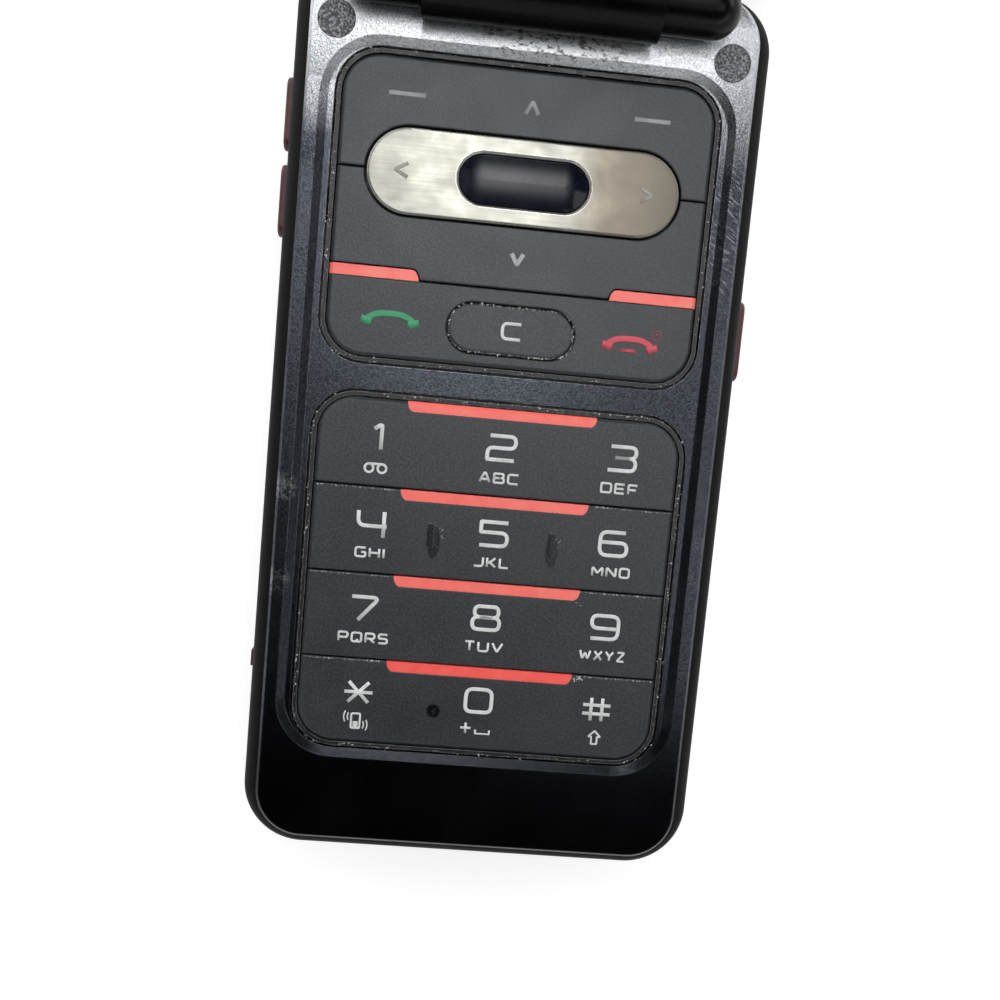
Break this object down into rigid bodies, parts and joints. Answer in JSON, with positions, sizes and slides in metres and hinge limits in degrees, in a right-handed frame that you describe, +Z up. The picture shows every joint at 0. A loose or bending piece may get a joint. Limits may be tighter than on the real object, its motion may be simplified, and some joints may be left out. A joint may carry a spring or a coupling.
{
  "type": "flip phone",
  "caption": "Rugged flip phone, open: dark metallic frame, charcoal keys in strips with red inlays, a brushed steel navigation plate, side keys, a battery door and a lid on a barrel hinge",
  "frame": {"origin": "centre of the flat underside of the lower half, on the battery door", "axes": "+X to the right of someone who looks at the keypad, +Y from the keypad's low end to the hinge, +Z up out of the keypad"},
  "size_m": [0.0534, 0.1873, 0.0507],
  "materials": {
    "painted_frame": "dark grey metallic paint, semi-gloss, worn at the rim",
    "soft_band": "black, soft to the touch, fine texture",
    "black_plastic": "black, fine texture",
    "gloss_black": "black, polished",
    "key_black": "charcoal, satin",
    "red_inlay": "red, translucent",
    "dark_red": "dark red, satin",
    "brushed_plate": "fine brushing along the plate, bright bevel",
    "plain_metal": "plain",
    "gold": "plated",
    "circuit_green": "solder mask",
    "black_rubber": "black, matte",
    "amber_film": "thin film",
    "window": "clear, black round its edge",
    "display": "dark when off",
    "label_grey": "wrapped film"
  },
  "bodies": {
    "base": {"front_case": "painted_frame", "rear_case": "soft_band", "screw_caps": "black_rubber", "case_screws": "plain_metal", "keypad_mat": "black_rubber", "dome_sheet": "plain_metal", "main_board": "circuit_green", "shield_cans": "plain_metal", "side_switches": "plain_metal", "port_connector": "plain_metal", "battery": "label_grey", "battery_contacts": "gold", "sim_holder": "plain_metal", "loudspeaker": "gloss_black", "microphone": "gold", "antenna": "black_plastic", "vibration_motor": "plain_metal", "hinge_knuckles": "gloss_black", "hinge_shaft": "plain_metal", "hinge_pin": "plain_metal"},
    "lid": {"hinge_cartridge": "plain_metal", "hinge_flex": "amber_film", "lid_inner_case": "black_plastic", "lid_outer_case": "black_plastic", "barrel_cover": "gloss_black", "main_window": "window", "main_display": "display", "lid_board": "circuit_green", "outer_window": "window", "outer_display": "display", "earpiece": "plain_metal", "earpiece_mesh": "plain_metal", "camera_module": "gloss_black", "camera_ring": "plain_metal", "camera_glass": "window", "lid_bumpers": "black_rubber", "lid_screws": "plain_metal", "lid_screw_caps": "black_rubber", "lid_magnet": "plain_metal"},
    "soft_keys": {"soft_key_strip": "key_black"},
    "down_keys": {"down_key_strip": "key_black"},
    "steel_plate": {"nav_plate": "brushed_plate"},
    "centre_key": {"ok_key": "gloss_black"},
    "call_row": {"call_strip": "key_black", "call_inlays": "red_inlay"},
    "clear": {"clear_key": "key_black"},
    "row_1": {"key_row_1": "key_black", "inlay_1": "red_inlay"},
    "row_2": {"key_row_2": "key_black", "inlay_2": "red_inlay"},
    "row_3": {"key_row_3": "key_black", "inlay_3": "red_inlay"},
    "row_4": {"key_row_4": "key_black", "inlay_4": "red_inlay"},
    "volume_up": {"volume_up_key": "dark_red"},
    "volume_down": {"volume_down_key": "dark_red"},
    "right_side_key": {"side_key": "dark_red"},
    "port_flap": {"port_cover": "black_rubber"},
    "door": {"battery_door": "black_plastic"}
  },
  "joints": [
    {"name": "lid_hinge", "type": "hinge", "parent": "base", "child": "lid", "pos_m": [0, 0.0461, 0.0156], "axis": [1, 0, 0], "range_deg": [0, 160]},
    {"name": "soft_keys_press", "type": "slide", "parent": "base", "child": "soft_keys", "axis": [0, 0, -1], "range_m": [0, 0.00025], "stiffness_N_per_m": 6000},
    {"name": "down_key_press", "type": "slide", "parent": "base", "child": "down_keys", "axis": [0, 0, -1], "range_m": [0, 0.00025], "stiffness_N_per_m": 6000},
    {"name": "steel_plate_rock", "type": "hinge", "parent": "base", "child": "steel_plate", "pos_m": [0, 0.02715, 0.0107], "axis": [0, 1, 0], "range_deg": [-0.8, 0.8], "stiffness_Nm_per_rad": 1.4},
    {"name": "centre_key_press", "type": "slide", "parent": "base", "child": "centre_key", "axis": [0, 0, -1], "range_m": [0, 0.00025], "stiffness_N_per_m": 6000},
    {"name": "call_row_press", "type": "slide", "parent": "base", "child": "call_row", "axis": [0, 0, -1], "range_m": [0, 0.00025], "stiffness_N_per_m": 6000},
    {"name": "clear_key_press", "type": "slide", "parent": "base", "child": "clear", "axis": [0, 0, -1], "range_m": [0, 0.00025], "stiffness_N_per_m": 6000},
    {"name": "row_1_press", "type": "slide", "parent": "base", "child": "row_1", "axis": [0, 0, -1], "range_m": [0, 0.00025], "stiffness_N_per_m": 6000},
    {"name": "row_2_press", "type": "slide", "parent": "base", "child": "row_2", "axis": [0, 0, -1], "range_m": [0, 0.00025], "stiffness_N_per_m": 6000},
    {"name": "row_3_press", "type": "slide", "parent": "base", "child": "row_3", "axis": [0, 0, -1], "range_m": [0, 0.00025], "stiffness_N_per_m": 6000},
    {"name": "row_4_press", "type": "slide", "parent": "base", "child": "row_4", "axis": [0, 0, -1], "range_m": [0, 0.00025], "stiffness_N_per_m": 6000},
    {"name": "volume_up_press", "type": "slide", "parent": "base", "child": "volume_up", "axis": [1, 0, 0], "range_m": [0, 0.0003], "stiffness_N_per_m": 5000},
    {"name": "volume_down_press", "type": "slide", "parent": "base", "child": "volume_down", "axis": [1, 0, 0], "range_m": [0, 0.0003], "stiffness_N_per_m": 5000},
    {"name": "side_key_press", "type": "slide", "parent": "base", "child": "right_side_key", "axis": [-1, 0, 0], "range_m": [0, 0.0003], "stiffness_N_per_m": 5000},
    {"name": "port_flap_hinge", "type": "hinge", "parent": "base", "child": "port_flap", "pos_m": [-0.02535, -0.02235, 0.0066], "axis": [0, 0, -1], "range_deg": [0, 90]},
    {"name": "door_slide", "type": "slide", "parent": "base", "child": "door", "axis": [0, -1, 0], "range_m": [0, 0.0025]}
  ]
}
